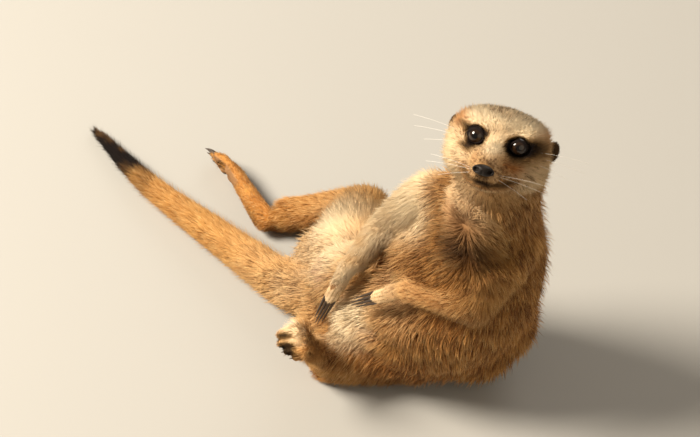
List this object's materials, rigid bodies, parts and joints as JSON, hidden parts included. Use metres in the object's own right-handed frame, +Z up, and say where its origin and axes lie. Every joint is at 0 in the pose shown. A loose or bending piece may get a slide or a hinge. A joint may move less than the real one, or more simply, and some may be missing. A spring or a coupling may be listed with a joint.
{
  "type": "meerkat",
  "caption": "Life-size meerkat lounging on its rump, back curled, legs splayed, hands over the belly, face turned up; a still display model.",
  "frame": {"origin": "on the floor under the loin, where the animal sits", "axes": "+Z up; +X from the tail's tip towards the curled back, the longest extent; +Y towards the side of the animal's right leg"},
  "size_m": [0.25, 0.2133, 0.2041],
  "materials": {
    "golden_fur": "short soft fur, golden tan",
    "grizzled_fur": "soft fur, tan grizzled with brown and grey",
    "tail_fur": "short fur, orange tan to a dark tip",
    "face_fur": "short cream fur with dark eye patches",
    "black_skin": "bare or thinly furred black skin",
    "eye": "wet gloss, dark brown",
    "horn": "satin, dark brown claw"
  },
  "bodies": {
    "root": {"neck": "golden_fur", "pelvis": "golden_fur", "tail_base": "golden_fur", "thigh_left": "golden_fur", "thigh_right": "golden_fur", "shank_left": "golden_fur", "shank_right": "golden_fur", "foot_left": "golden_fur", "foot_right": "golden_fur", "upper_arm_left": "golden_fur", "upper_arm_right": "golden_fur", "forearm_left": "golden_fur", "forearm_right": "golden_fur", "hand_left": "golden_fur", "hand_right": "golden_fur", "abdomen": "grizzled_fur", "chest": "grizzled_fur", "tail_middle": "tail_fur", "tail_tip": "tail_fur", "head": "face_fur", "nose": "black_skin", "ear_left": "black_skin", "ear_right": "black_skin", "eye_left": "eye", "eye_right": "eye", "claw_foot_left_1": "horn", "claw_foot_left_2": "horn", "claw_foot_left_3": "horn", "claw_foot_left_4": "horn", "claw_foot_right_1": "horn", "claw_foot_right_2": "horn", "claw_foot_right_3": "horn", "claw_foot_right_4": "horn", "claw_hand_left_1": "horn", "claw_hand_left_2": "horn", "claw_hand_left_3": "horn", "claw_hand_left_4": "horn", "claw_hand_right_1": "horn", "claw_hand_right_2": "horn", "claw_hand_right_3": "horn", "claw_hand_right_4": "horn"}
  },
  "joints": []
}
